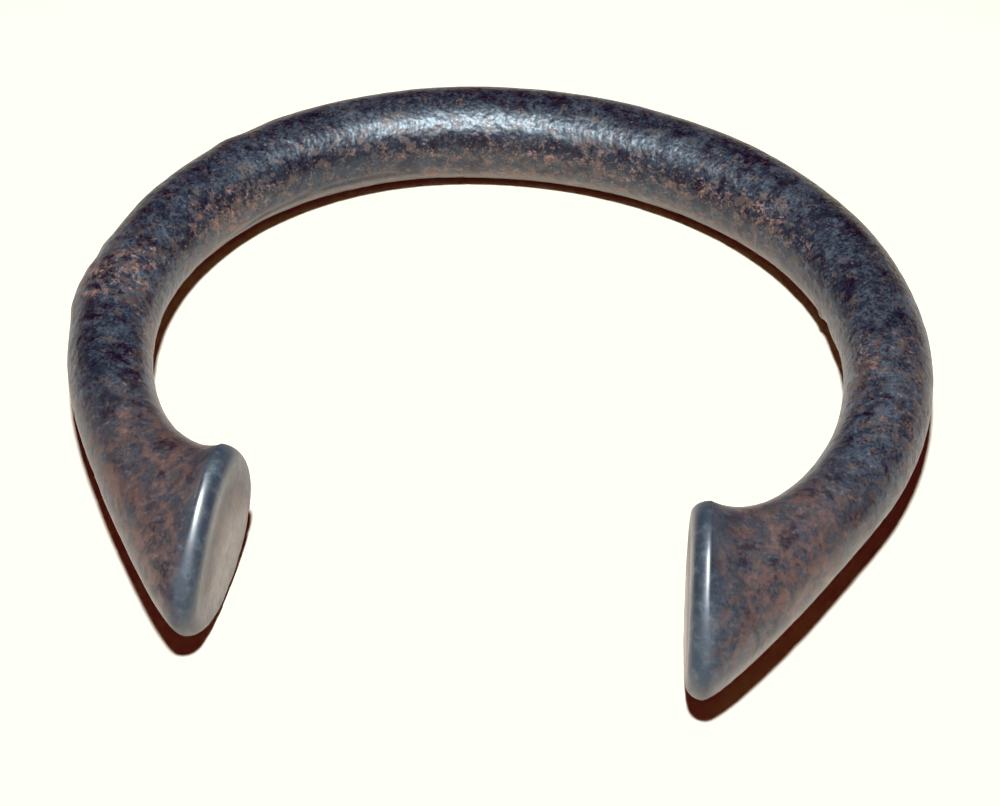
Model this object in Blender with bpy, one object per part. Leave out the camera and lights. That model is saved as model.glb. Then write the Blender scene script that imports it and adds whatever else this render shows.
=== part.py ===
"""Manilla: an open horseshoe ring of cast copper alloy with two flared, hoof-like ends.

The ring lies flat. Seen from above, its back is at +Y and its mouth opens towards -Y.
One closed skin is laid over a row of sections: along the rod of the ring, out through the
flare of each end, round the lip of its end face and over the low dome of that face.
Lengths are in metres, angles in degrees, +Z is up.
"""
import bmesh
import bpy
import numpy as np

MM = 0.001

# The centre line of the ring, seen from above: a circle drawn a little out of true.
RING_RADIUS = 28.7 * MM
SIDE_BULGE = 1.30 * MM
BACK_BULGE = 0.63 * MM
CORNER_BULGE = 0.23 * MM
LEFT_BULGE = 0.52 * MM
LEFT_SHOULDER_BULGE = 0.25 * MM
NECK_ANGLE = 110.6

# The rod is thickest at the back and thins to the two necks.
BACK_ROD_DIAMETER = 7.86 * MM
NECK_ROD_DIAMETER = 6.45 * MM
ROD_HOLLOWING = 0.11 * MM

# Each end face is an oval that stands on edge, its long way lying front to back. Its upper
# half is thinned towards the front tip by a share of the height, and the whole oval is
# rolled, so that the tip points down. At the inner corner the lip stands out further and
# takes less of the face, each by its own share of the radius.
FACE_LENGTH = 14.14 * MM
FACE_HEIGHT = 11.25 * MM
TIP_THINNING = 0.42
FACE_ROLL = 3.3
LIP_RADIUS = 1.25 * MM
INNER_LIP_SHRINK = 0.50
INNER_LIP_RISE = 1.12
FACE_DOME = 0.06 * MM

# Where each face's inner corner stands, from the centre of its neck: in towards the mouth,
# and forward. The toe is how far the face opens towards its tip.
LEFT_FACE_INSET = 10.3 * MM
LEFT_FACE_FORWARD = 5.11 * MM
LEFT_FACE_TOE = 3.5
RIGHT_FACE_INSET = 9.9 * MM
RIGHT_FACE_FORWARD = 5.38 * MM
RIGHT_FACE_TOE = 4.5

# The inner and outer edges of a flare leave the neck along the rod and reach the face at
# these angles to the mouth's cross line. A sweep is how far each end of the curve carries
# on in its own direction, as a share of the straight way from neck to face.
INNER_EDGE_ANGLE = -17.7
INNER_NECK_SWEEP = 1.54
INNER_FACE_SWEEP = 0.77
OUTER_EDGE_ANGLE = 13.1
OUTER_NECK_SWEEP = 0.79
OUTER_FACE_SWEEP = 0.22
HEIGHT_FLARE_POWER = 2.3

# A low swelling left by the casting, on the outer side of the left arm.
SWELLING_ANGLE = -88.0
SWELLING_SPREAD = 4.5
SWELLING_HEIGHT = 0.32 * MM

# The ring is worn flat where it lies: under the back and under each lip.
WEAR_DEPTH = 0.24 * MM

# How finely the skin is divided.
ROD_SECTIONS = 79
FLARE_SECTIONS = 17
LIP_SECTIONS = 4
DOME_SECTIONS = 3
SECTION_SIDES = 36

LEFT = -1
RIGHT = 1
INSET = {LEFT: LEFT_FACE_INSET, RIGHT: RIGHT_FACE_INSET}
FORWARD = {LEFT: LEFT_FACE_FORWARD, RIGHT: RIGHT_FACE_FORWARD}
TOE = {LEFT: LEFT_FACE_TOE, RIGHT: RIGHT_FACE_TOE}


def centre_line(angle):
    """Points of the rod's centre line at these angles, taken clockwise from the back."""
    radius = (RING_RADIUS + BACK_BULGE * np.cos(angle) - SIDE_BULGE * np.cos(2 * angle)
              - CORNER_BULGE * np.cos(3 * angle) - LEFT_BULGE * np.sin(angle)
              - LEFT_SHOULDER_BULGE * np.sin(2 * angle))
    return np.stack([radius * np.sin(angle), radius * np.cos(angle)], axis=-1)


def unit(vector):
    """The vector, or each row of vectors, at length one."""
    return vector / np.linalg.norm(vector, axis=-1, keepdims=True)


def direction(angle):
    """The centre line's own direction at these angles, pointing clockwise."""
    step = 1e-5
    return unit(centre_line(angle + step) - centre_line(angle - step))


def rod_radius(angle):
    """The rod's radius: it thins from the back to the necks as the square of the angle."""
    share = (angle / np.radians(NECK_ANGLE)) ** 2
    thick = BACK_ROD_DIAMETER / 2
    thin = NECK_ROD_DIAMETER / 2
    return thick + (thin - thick) * share - 4 * ROD_HOLLOWING * share * (1 - share)


def swept_edge(start, start_way, end, end_way, start_sweep, end_sweep, share):
    """A cubic curve from start to end that leaves and arrives along the two given ways."""
    chord = np.linalg.norm(end - start)
    t = share[:, None]
    leaving = (t ** 3 - 2 * t ** 2 + t) * start_way * chord * start_sweep
    arriving = (t ** 3 - t ** 2) * end_way * chord * end_sweep
    blend = 3 * t ** 2 - 2 * t ** 3
    return start + blend * (end - start) + leaving + arriving


def rod_sections():
    """Inner edge, outer edge and half height of the sections between the two necks."""
    angle = np.radians(np.linspace(-NECK_ANGLE, NECK_ANGLE, ROD_SECTIONS))
    radius = rod_radius(angle)
    way = direction(angle)
    outward = np.stack([-way[:, 1], way[:, 0]], axis=1)
    middle = centre_line(angle)
    turn_from_swelling = np.degrees(angle) - SWELLING_ANGLE
    swelling = SWELLING_HEIGHT * np.exp(-(turn_from_swelling / SWELLING_SPREAD) ** 2)
    inner = middle - outward * radius[:, None]
    outer = middle + outward * (radius + swelling)[:, None]
    return inner, outer, radius


def face_corners(side):
    """Inner and outer corner of one end face, and the way the face looks."""
    neck = centre_line(np.radians(side * NECK_ANGLE))
    toe = np.radians(TOE[side])
    inner = neck + np.array([-side * INSET[side], -FORWARD[side]])
    along = np.array([side * np.sin(toe), -np.cos(toe)])
    looks = np.array([-side * np.cos(toe), -np.sin(toe)])
    return inner, inner + along * FACE_LENGTH, looks


def end_sections(side):
    """Sections of one end, from just past its neck to just short of the face's middle."""
    angle = np.radians(side * NECK_ANGLE)
    way = side * direction(angle)
    outward = side * np.array([-way[1], way[0]])
    neck = centre_line(angle)
    neck_radius = NECK_ROD_DIAMETER / 2
    face_inner, face_outer, looks = face_corners(side)
    share = np.linspace(0, 1, FLARE_SECTIONS + 1)[1:]
    inner_angle = np.radians(INNER_EDGE_ANGLE)
    outer_angle = np.radians(OUTER_EDGE_ANGLE)
    inner_way = np.array([-side * np.cos(inner_angle), np.sin(inner_angle)])
    outer_way = np.array([-side * np.cos(outer_angle), np.sin(outer_angle)])
    inner = swept_edge(neck - outward * neck_radius, way, face_inner, inner_way,
                       INNER_NECK_SWEEP, INNER_FACE_SWEEP, share)
    outer = swept_edge(neck + outward * neck_radius, way, face_outer, outer_way,
                       OUTER_NECK_SWEEP, OUTER_FACE_SWEEP, share)
    half_height = neck_radius + (FACE_HEIGHT / 2 - neck_radius) * share ** HEIGHT_FLARE_POWER

    along = unit(face_outer - face_inner)
    turn = np.linspace(0, np.pi / 2, LIP_SECTIONS + 1)[1:]
    rise = LIP_RADIUS * np.sin(turn)
    shrink = LIP_RADIUS * (1 - np.cos(turn))
    inner_rise = INNER_LIP_RISE * rise
    inner_shrink = INNER_LIP_SHRINK * shrink
    lip_inner = face_inner + looks * inner_rise[:, None] + along * inner_shrink[:, None]
    lip_outer = face_outer + looks * rise[:, None] - along * shrink[:, None]
    lip_half_height = FACE_HEIGHT / 2 - shrink

    middle = (lip_inner[-1] + lip_outer[-1]) / 2
    reach = (lip_outer[-1] - lip_inner[-1]) / 2
    size = np.linspace(1, 0, DOME_SECTIONS + 2)[1:-1]
    crown = middle + looks * (FACE_DOME * (1 - size ** 2))[:, None]
    dome_inner = crown - reach * size[:, None]
    dome_outer = crown + reach * size[:, None]
    dome_half_height = lip_half_height[-1] * size
    bend = np.concatenate([share ** 2, np.ones(LIP_SECTIONS + DOME_SECTIONS)])
    return (np.vstack([inner, lip_inner, dome_inner]), np.vstack([outer, lip_outer, dome_outer]),
            np.concatenate([half_height, lip_half_height, dome_half_height]), bend,
            middle + looks * FACE_DOME)


def bent_ovals(reach, half, bend):
    """Across and up of the points round each section, from plain ovals to the faces' shape."""
    turn = np.linspace(0, 2 * np.pi, SECTION_SIDES, endpoint=False)
    thinning = np.where(np.sin(turn) > 0, TIP_THINNING, 0.0)
    across = reach[:, None] * np.cos(turn)
    up = half[:, None] * np.sin(turn) * (1 - bend[:, None] * thinning * np.cos(turn))
    roll = np.radians(FACE_ROLL) * bend[:, None]
    rolled_across = across * np.cos(roll) + up * np.sin(roll)
    rolled_up = up * np.cos(roll) - across * np.sin(roll)
    return rolled_across, rolled_up


def height_of(y, back_y):
    """Height of a section's centre, which climbs evenly from the back to the end faces."""
    _, face_up = bent_ovals(np.array([FACE_LENGTH / 2]), np.array([FACE_HEIGHT / 2]), np.ones(1))
    face_middle = [np.mean(face_corners(side)[:2], axis=0)[1] for side in (LEFT, RIGHT)]
    share = (back_y - y) / (back_y - np.mean(face_middle))
    return BACK_ROD_DIAMETER / 2 + (-face_up.min() - BACK_ROD_DIAMETER / 2) * share


def skin():
    """Rings of points over the whole casting, end to end, and the crown of each face."""
    left_inner, left_outer, left_half, left_bend, left_crown = end_sections(LEFT)
    right_inner, right_outer, right_half, right_bend, right_crown = end_sections(RIGHT)
    rod_inner, rod_outer, rod_half = rod_sections()
    inner = np.vstack([left_inner[::-1], rod_inner, right_inner])
    outer = np.vstack([left_outer[::-1], rod_outer, right_outer])
    half = np.concatenate([left_half[::-1], rod_half, right_half])
    bend = np.concatenate([left_bend[::-1], np.zeros(ROD_SECTIONS), right_bend])
    middle = (inner + outer) / 2
    reach = np.linalg.norm(outer - inner, axis=1) / 2
    back_y = centre_line(0.0)[1]
    across, up = bent_ovals(reach, half, bend)
    plan = middle[:, None, :] + unit(outer - inner)[:, None, :] * across[..., None]
    level = height_of(middle[:, 1], back_y)[:, None] + up
    rings = np.concatenate([plan, level[..., None]], axis=2)
    crowns = [np.append(crown, height_of(crown[1], back_y)) for crown in (left_crown, right_crown)]
    return rings, crowns


def settle(rings, crowns):
    """Wear the underside flat and move the origin under the middle of the whole ring."""
    points = np.vstack([rings.reshape(-1, 3), crowns])
    lowest = points[:, 2].min() + WEAR_DEPTH
    points[:, 2] = np.maximum(points[:, 2], lowest)
    low = points.min(axis=0)
    high = points.max(axis=0)
    base = np.array([(low[0] + high[0]) / 2, (low[1] + high[1]) / 2, low[2]])
    return points - base


def copper_alloy():
    """Old cast copper alloy: a dark blue-brown skin with a dull sheen."""
    material = bpy.data.materials.new("patinated copper alloy")
    material.use_nodes = True
    shader = material.node_tree.nodes["Principled BSDF"]
    shader.inputs["Base Color"].default_value = (0.115, 0.095, 0.09, 1.0)
    shader.inputs["Metallic"].default_value = 0.55
    shader.inputs["Roughness"].default_value = 0.42
    return material


def build_manilla():
    """Lay the skin over the sections as one closed mesh and put it in the scene."""
    rings, crowns = skin()
    points = settle(rings, crowns)
    count = len(rings)
    mesh = bpy.data.meshes.new("manilla")
    work = bmesh.new()
    verts = [work.verts.new(point) for point in points]
    left_crown, right_crown = verts[-2:]
    for side in range(SECTION_SIDES):
        beside = (side + 1) % SECTION_SIDES
        for ring in range(count - 1):
            here = ring * SECTION_SIDES
            there = here + SECTION_SIDES
            work.faces.new([verts[here + side], verts[here + beside],
                            verts[there + beside], verts[there + side]])
        last = (count - 1) * SECTION_SIDES
        work.faces.new([verts[beside], verts[side], left_crown])
        work.faces.new([verts[last + side], verts[last + beside], right_crown])
    bmesh.ops.recalc_face_normals(work, faces=work.faces)
    work.to_mesh(mesh)
    work.free()
    mesh.shade_smooth()
    mesh.materials.append(copper_alloy())
    manilla = bpy.data.objects.new("manilla", mesh)
    bpy.context.scene.collection.objects.link(manilla)
    return manilla


def main():
    """Clear the scene and build the one casting."""
    for old in list(bpy.data.objects):
        bpy.data.objects.remove(old)
    build_manilla()


main()
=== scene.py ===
"""The manilla's looks: an old horseshoe ring of cast copper alloy, lying on pale paper.

The casting is one skin of sections, carried along the rod, out through both flares and over
both end faces. Its relief (lumps, pits, a mould seam, a few nicks) is worked into the skin, and
its patina is mixed from shader node groups. Lengths are in metres unless a name says mm.
"""
import itertools
import logging
import math
from dataclasses import dataclass, field
from enum import Enum

import bpy
import numpy as np
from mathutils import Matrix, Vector


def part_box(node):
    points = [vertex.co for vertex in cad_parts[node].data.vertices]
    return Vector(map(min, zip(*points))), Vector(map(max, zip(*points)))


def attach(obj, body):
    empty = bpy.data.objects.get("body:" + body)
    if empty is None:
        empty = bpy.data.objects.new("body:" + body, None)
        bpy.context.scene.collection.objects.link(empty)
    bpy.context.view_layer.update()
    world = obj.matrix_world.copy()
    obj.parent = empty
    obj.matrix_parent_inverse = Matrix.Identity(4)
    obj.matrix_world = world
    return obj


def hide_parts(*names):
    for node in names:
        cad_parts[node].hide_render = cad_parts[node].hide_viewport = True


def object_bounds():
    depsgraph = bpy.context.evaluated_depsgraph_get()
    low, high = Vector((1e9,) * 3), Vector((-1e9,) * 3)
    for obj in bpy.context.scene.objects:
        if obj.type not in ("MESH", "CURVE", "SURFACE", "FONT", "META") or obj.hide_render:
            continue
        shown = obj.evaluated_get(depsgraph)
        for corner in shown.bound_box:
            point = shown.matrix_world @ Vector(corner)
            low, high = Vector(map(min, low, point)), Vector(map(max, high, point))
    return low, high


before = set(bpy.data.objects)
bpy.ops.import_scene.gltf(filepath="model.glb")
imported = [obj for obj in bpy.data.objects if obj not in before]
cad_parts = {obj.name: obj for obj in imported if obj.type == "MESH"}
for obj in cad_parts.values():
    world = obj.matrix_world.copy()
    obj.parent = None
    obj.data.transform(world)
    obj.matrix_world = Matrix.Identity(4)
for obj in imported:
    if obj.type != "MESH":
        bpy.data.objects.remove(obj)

log = logging.getLogger("manilla")

MM = 0.001
NODE = "manilla"
CAD_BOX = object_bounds()
TINY = 1e-12

HASH_FACTORS = (73856093, 19349663, 83492791)
HASH_SEED_FACTOR, HASH_SEED_START = 2654435761, 97
HASH_MIX = 0x9E3779B97F4A7C15
HASH_SHIFTS = (13, 29)
HASH_MASK, HASH_MIDDLE = 0xFFFFFF, 0x7FFFFF


class End(Enum):
    """The two ends of the ring, by the side of the mouth they stand on."""

    LEFT = -1
    RIGHT = 1


class Mask(Enum):
    """Attributes on the skin that say where each kind of patina gathers."""

    RUST = "rust_zone"
    OLIVE = "olive_zone"
    FACE = "face_zone"
    # The underside, lightened partly as worn metal and partly as a painted reflection of the
    # paper.
    RUBBED = "underside_zone"
    # Pits, and the painted shade line beside the mould seam.
    DEEP = "pits_and_seam_shade_zone"
    RIM = "rim_zone"
    FLARE = "flare_zone"
    PALE = "pale_zone"
    # A painted glint: where pale specks gather thickly to stand in for a glint.
    DUST = "painted_glint_zone"
    LIP = "lip_zone"
    SHINE = "shine_zone"


Zones = dict[Mask, np.ndarray]


def unit(vectors: np.ndarray) -> np.ndarray:
    """Each vector along the last axis, at length one."""
    return vectors / np.maximum(np.linalg.norm(vectors, axis=-1, keepdims=True), TINY)


def smooth_step(low: float, high: float, values: np.ndarray) -> np.ndarray:
    """Zero below low, one above high, and 3t^2 - 2t^3 between them."""
    share = np.clip((values - low) / (high - low), 0.0, 1.0)
    return share * share * (3.0 - 2.0 * share)


def lattice_noise(points: np.ndarray, cell: float, seed: int) -> np.ndarray:
    """Smooth random values between -1 and 1 that change over about one cell.

    Each corner of a cubic lattice gets a random value from a hash of its whole numbers. Inside
    a cell the eight corner values are mixed by the quintic 6t^5 - 15t^4 + 10t^3 on each axis.

    Args:
        points: Positions, with x, y and z along the last axis.
        cell: Side of one lattice cell, in the points' own unit.
        seed: Whole number that picks the pattern.

    Returns:
        One value for each point.
    """
    scaled = points / cell
    corner = np.floor(scaled).astype(np.int64)
    part = scaled - corner
    part = part ** 3 * (part * (part * 6.0 - 15.0) + 10.0)
    factors = np.array(HASH_FACTORS, dtype=np.uint64)
    start = np.uint64(seed * HASH_SEED_FACTOR + HASH_SEED_START)
    first_shift, second_shift = (np.uint64(shift) for shift in HASH_SHIFTS)
    total = np.zeros(points.shape[:-1])
    for offset in itertools.product((0, 1), repeat=3):
        at = (corner + np.array(offset)).astype(np.uint64) * factors
        code = at[..., 0] ^ at[..., 1] ^ at[..., 2] ^ start
        code = (code ^ (code >> first_shift)) * np.uint64(HASH_MIX)
        code = code ^ (code >> second_shift)
        value = (code & np.uint64(HASH_MASK)).astype(float) / HASH_MIDDLE - 1.0
        weight = np.ones(points.shape[:-1])
        for axis, side in enumerate(offset):
            weight = weight * (part[..., axis] if side else 1.0 - part[..., axis])
        total += weight * value
    return total


def layered_noise(points: np.ndarray, cell: float, seed: int, layers: int) -> np.ndarray:
    """Noise laid over itself: each layer has half the last one's cell and half its weight.

    Args:
        points: Positions, with x, y and z along the last axis.
        cell: Side of the first layer's lattice cell, in the points' own unit.
        seed: Whole number of the first layer's pattern.
        layers: How many there are.

    Returns:
        One value between -1 and 1 for each point.
    """
    total = np.zeros(points.shape[:-1])
    weight = 1.0
    for layer in range(layers):
        total += weight * lattice_noise(points, cell / 2 ** layer, seed + layer)
        weight *= 0.5
    return total / (2.0 - 2.0 ** (1 - layers))


@dataclass(frozen=True)
class Band:
    """A smooth band: one in its middle, and exp(-(d / spread)^2) at the distance d."""

    middle: float
    spread: float

    def over(self, values: np.ndarray) -> np.ndarray:
        """How far each value lies in the band."""
        return np.exp(-((values - self.middle) / self.spread) ** 2)


@dataclass(frozen=True)
class Lumps:
    """Layered noise that lifts and lowers the skin by up to its height."""

    height: float
    cell: float
    seed: int
    layers: int = 2

    def over(self, points: np.ndarray) -> np.ndarray:
        """The lift at each point."""
        return self.height * layered_noise(points, self.cell, self.seed, self.layers)


@dataclass(frozen=True)
class Patches:
    """Lattice noise cut to patches that begin at its low value and are full at its high one."""

    cell: float
    seed: int
    low: float
    high: float
    weight: float = 1.0

    def over(self, points: np.ndarray) -> np.ndarray:
        """How full each point is, times the weight."""
        noise = lattice_noise(points, self.cell, self.seed)
        return self.weight * smooth_step(self.low, self.high, noise)


@dataclass(frozen=True)
class Seam:
    """The fine groove that the mould left along the inner side of the left arm.

    Attributes:
        angles: Degrees round the ring of the points that its line runs through.
        turns: Its turn at each of them.
        opens: Angles between which it grows to its full depth.
        closes: Angles between which it fades out again.
        depth: Its full depth.
        width: Its half width.
        whole: Where it isn't broken.
        painted_shade: Painted shade, a dark line beside it, in half widths from its middle.
        painted_shade_share: How dark that painted shade is where the groove is broken.
        painted_shade_gain: How much darker it is where the groove is whole.
    """

    angles: tuple[float, ...] = (-64.0, -44.0, -25.0)
    turns: tuple[float, ...] = (203.0, 192.0, 194.0)
    opens: tuple[float, float] = (-70.0, -58.0)
    closes: tuple[float, float] = (-32.0, -18.0)
    depth: float = 0.10 * MM
    width: float = 0.22 * MM
    whole: Patches = Patches(1.1 * MM, 57, -0.5, 0.2)
    # Painted shade: a dark line laid beside the groove as the shade of its edge.
    painted_shade: Band = Band(1.4, 1.1)
    painted_shade_share: float = 0.7
    painted_shade_gain: float = 0.7


@dataclass(frozen=True)
class SkinMarks:
    """The casting's own roughness: lumps of two sizes, and pits that gather in places.

    Attributes:
        lumps: The broad ones.
        small_lumps: The small ones.
        face_calm: How far the end faces and rims lose the small lumps.
        pits: The patterns of pits, laid over one another.
        pitted: Where they gather.
        least_pits: What is left of them elsewhere.
        face_polish: How far the end faces and rims lose their pits.
        pit_depth: How deep a full pit is.
        sunk: How far the whole skin lies below the smooth form.
    """

    lumps: Lumps = Lumps(0.050 * MM, 5.5 * MM, 3)
    small_lumps: Lumps = Lumps(0.024 * MM, 1.5 * MM, 11)
    face_calm: float = 0.5
    pits: tuple[Patches, ...] = (Patches(0.62 * MM, 23, 0.30, 0.75),
                                 Patches(0.45 * MM, 31, 0.38, 0.80, 0.7))
    pitted: Patches = Patches(4.0 * MM, 41, -0.35, 0.45)
    least_pits: float = 0.35
    face_polish: float = 0.75
    pit_depth: float = 0.040 * MM
    sunk: float = 0.03 * MM


@dataclass(frozen=True)
class ZoneMix:
    """Where the kinds of patina gather and how much each place counts.

    A pair is where a zone begins and where it is full: degrees from the back, or the downward
    part of the normal. Bands are in degrees of turn round the rod. Ends are counted in sections.

    Attributes:
        face_core: Share of the dome's sections that count as face in full.
        lip_rank: How many sections before its edge the face ends and the rim lies.
        rim_on_face: How far the rim reaches over the face.
        rim_on_flare: How far it reaches up the left flare and the right one.
        rim_top: Sines of the turn from which the rim shows on the face.
        lip: The band of the lip, counted from the rim.
        join_fade: From where on the relief is full, counted from the face's middle.
    """

    arms: tuple[float, float] = (50.0, 95.0)
    flares: tuple[float, float] = (104.0, 122.0)
    underside: tuple[float, float] = (0.15, 0.75)
    inside: Band = Band(160.0, 34.0)
    low_inside: Band = Band(202.0, 16.0)
    upper: Band = Band(90.0, 70.0)
    outer_top: Band = Band(48.0, 30.0)
    shiny: Band = Band(85.0, 20.0)

    inside_rust: float = 0.24
    low_inside_rust: float = 0.56
    arm_rust: float = 0.34
    arm_top_rust: float = 0.12
    flare_rust: float = 0.14
    rim_rust_loss: float = 0.35
    stain_rust: float = 0.6
    rust_range: tuple[float, float] = (-0.3, 1.3)
    inside_dark: float = 1.2
    arm_olive_loss: float = 0.6
    flare_pale_loss: float = 0.6
    olive_share: float = 0.6
    olive_gain: float = 0.4
    olive_cell: float = 4.0 * MM
    olive_seed: int = 71

    face_core: float = 0.3
    lip_rank: float = 3.0
    rim_on_face: float = 17.0
    rim_on_flare: tuple[float, float] = (10.0, 16.0)
    rim_top: tuple[float, float] = (-0.6, 0.3)
    lip: Band = Band(4.0, 7.0)
    join_fade: float = 6.0


@dataclass(frozen=True)
class EndFace:
    """One flared end, measured from the centre of the neck that it grows from.

    Attributes:
        inset: From the neck in towards the mouth, to the face's inner corner.
        forward: From the neck forward to the same corner.
        toe: How far the face opens towards its tip, in degrees.
    """

    inset: float
    forward: float
    toe: float


@dataclass(frozen=True)
class Spot:
    """One feature of the casting's surface, placed by where it lies on the skin.

    Attributes:
        angle: Degrees round the ring, clockwise from the back.
        turn: Degrees round the rod: 0 outside, 90 on top, 180 inside, 270 below.
        length: How far it spreads along the rod.
        width: How far it spreads round the rod.
        height: How far it stands out, or, below zero, goes in.
    """

    angle: float
    turn: float
    length: float
    width: float
    height: float


@dataclass(frozen=True)
class Stain:
    """A patch of thick rust, or, with a strength below zero, of dark ground without crust.

    It is placed as a spot is.
    """

    angle: float
    turn: float
    length: float
    width: float
    strength: float


@dataclass
class Casting:
    """The one piece: sizes, skin, relief and zones of the cast ring."""

    ring_radius: float = 28.7 * MM
    side_bulge: float = 1.30 * MM
    back_bulge: float = 0.63 * MM
    corner_bulge: float = 0.23 * MM
    left_bulge: float = 0.52 * MM
    left_shoulder_bulge: float = 0.25 * MM
    neck_angle: float = 110.6
    back_rod_diameter: float = 7.86 * MM
    neck_rod_diameter: float = 6.45 * MM
    rod_hollowing: float = 0.11 * MM
    face_length: float = 14.14 * MM
    face_height: float = 11.25 * MM
    tip_thinning: float = 0.42
    face_roll: float = 3.3
    lip_radius: float = 1.25 * MM
    inner_lip: tuple[float, float] = (1.12, 0.50)
    face_dome: float = 0.06 * MM
    ends: dict[End, EndFace] = field(default_factory=lambda: {
        End.LEFT: EndFace(10.3 * MM, 5.11 * MM, 3.5),
        End.RIGHT: EndFace(9.9 * MM, 5.38 * MM, 4.5)})
    inner_edge: tuple[float, float, float] = (-17.7, 1.54, 0.77)
    outer_edge: tuple[float, float, float] = (13.1, 0.79, 0.22)
    height_flare_power: float = 2.3
    wear_depth: float = 0.24 * MM

    swelling: Spot = Spot(-88.0, 0.0, 3.0 * MM, 9.0 * MM, 0.32 * MM)
    spots: tuple[Spot, ...] = (
        Spot(-91.0, 25.0, 0.8 * MM, 1.6 * MM, 0.10 * MM),
        Spot(-84.5, 20.0, 0.5 * MM, 1.4 * MM, 0.07 * MM),
        Spot(-79.5, 12.0, 0.6 * MM, 2.0 * MM, 0.12 * MM),
        Spot(-74.0, 20.0, 1.6 * MM, 2.5 * MM, -0.09 * MM),
        Spot(-54.0, 40.0, 0.9 * MM, 2.2 * MM, 0.10 * MM),
        Spot(-50.0, 42.0, 1.2 * MM, 2.0 * MM, -0.08 * MM),
        Spot(66.5, 205.0, 0.35 * MM, 0.5 * MM, 0.16 * MM),
        Spot(69.0, 203.0, 0.5 * MM, 0.6 * MM, -0.14 * MM),
        Spot(73.5, 200.0, 1.4 * MM, 0.6 * MM, 0.10 * MM),
        Spot(89.5, 190.0, 0.5 * MM, 0.7 * MM, -0.12 * MM),
        Spot(96.0, 60.0, 0.8 * MM, 1.0 * MM, -0.06 * MM),
        Spot(-60.0, 228.0, 0.35 * MM, 0.25 * MM, -0.16 * MM),
        Spot(-55.5, 222.0, 0.5 * MM, 0.25 * MM, -0.10 * MM))
    stains: tuple[Stain, ...] = (
        Stain(-64.0, 158.0, 3.2 * MM, 2.0 * MM, 0.75),
        Stain(-55.0, 168.0, 3.6 * MM, 1.2 * MM, 0.60),
        Stain(-97.0, 105.0, 2.0 * MM, 1.5 * MM, -0.90),
        Stain(-101.0, 45.0, 2.6 * MM, 1.4 * MM, -0.80),
        Stain(-108.0, 75.0, 2.2 * MM, 1.6 * MM, -0.80),
        Stain(-104.0, 76.0, 3.0 * MM, 2.2 * MM, -0.80),
        Stain(-75.0, 100.0, 3.0 * MM, 2.0 * MM, -0.40),
        Stain(-136.0, 36.0, 3.0 * MM, 2.4 * MM, 0.70),
        Stain(60.0, 70.0, 6.0 * MM, 2.6 * MM, -0.45),
        Stain(78.0, 95.0, 5.0 * MM, 2.2 * MM, -0.45),
        Stain(104.0, 130.0, 3.0 * MM, 1.4 * MM, -0.50),
        Stain(111.0, 85.0, 3.4 * MM, 2.6 * MM, -0.50),
        Stain(-88.0, 60.0, 2.5 * MM, 1.6 * MM, 0.70),
        Stain(-84.0, 110.0, 3.0 * MM, 1.6 * MM, 0.70),
        Stain(-98.0, 165.0, 4.0 * MM, 1.2 * MM, 0.60),
        Stain(-30.0, 150.0, 4.0 * MM, 1.2 * MM, 0.45),
        Stain(-8.0, 165.0, 9.0 * MM, 1.2 * MM, 0.55),
        Stain(12.0, 165.0, 6.0 * MM, 1.3 * MM, 0.60),
        Stain(36.0, 150.0, 6.0 * MM, 1.6 * MM, 0.80),
        Stain(48.0, 140.0, 4.0 * MM, 1.4 * MM, 0.55),
        Stain(88.0, 120.0, 1.8 * MM, 1.2 * MM, 0.80),
        Stain(-2.0, 215.0, 14.0 * MM, 1.5 * MM, 0.35))
    # A painted glint: pale specks gathered at one spot on the left arm in place of a glint.
    painted_glint: Stain = Stain(-87.8, 120.0, 0.9 * MM, 0.9 * MM, 1.0)
    seam: Seam = Seam()
    marks: SkinMarks = SkinMarks()
    mix: ZoneMix = ZoneMix()

    rod_sections: int = 640
    flare_sections: int = 72
    lip_sections: int = 8
    dome_sections: int = 24
    section_sides: int = 110
    direction_step: float = 1e-5

    def centre_line(self, angle: np.ndarray) -> np.ndarray:
        """Points of the rod's centre line, seen from above.

        The radius is that of a circle with small waves laid over it: one and two and three to
        the turn as cosines of the angle, which keep left and right alike, and one and two to
        the turn as sines, which make the left side fuller.

        Args:
            angle: Radians round the ring, clockwise from the back.

        Returns:
            x and y along the last axis.
        """
        radius = (self.ring_radius + self.back_bulge * np.cos(angle)
                  - self.side_bulge * np.cos(2 * angle)
                  - self.corner_bulge * np.cos(3 * angle)
                  - self.left_bulge * np.sin(angle)
                  - self.left_shoulder_bulge * np.sin(2 * angle))
        return np.stack([radius * np.sin(angle), radius * np.cos(angle)], axis=-1)

    def direction(self, angle: np.ndarray) -> np.ndarray:
        """The centre line's own direction, from the difference of two near points."""
        step = self.direction_step
        return unit(self.centre_line(angle + step) - self.centre_line(angle - step))

    def rod_radius(self, angle: np.ndarray) -> np.ndarray:
        """The rod's radius, which thins from the back to the necks as the angle squared.

        Halfway along that square it is a little hollow, by the rod's hollowing.

        Args:
            angle: Radians round the ring.

        Returns:
            One radius for each angle.
        """
        share = (angle / math.radians(self.neck_angle)) ** 2
        thick, thin = self.back_rod_diameter / 2, self.neck_rod_diameter / 2
        return thick + (thin - thick) * share - 4 * self.rod_hollowing * share * (1 - share)

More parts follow.
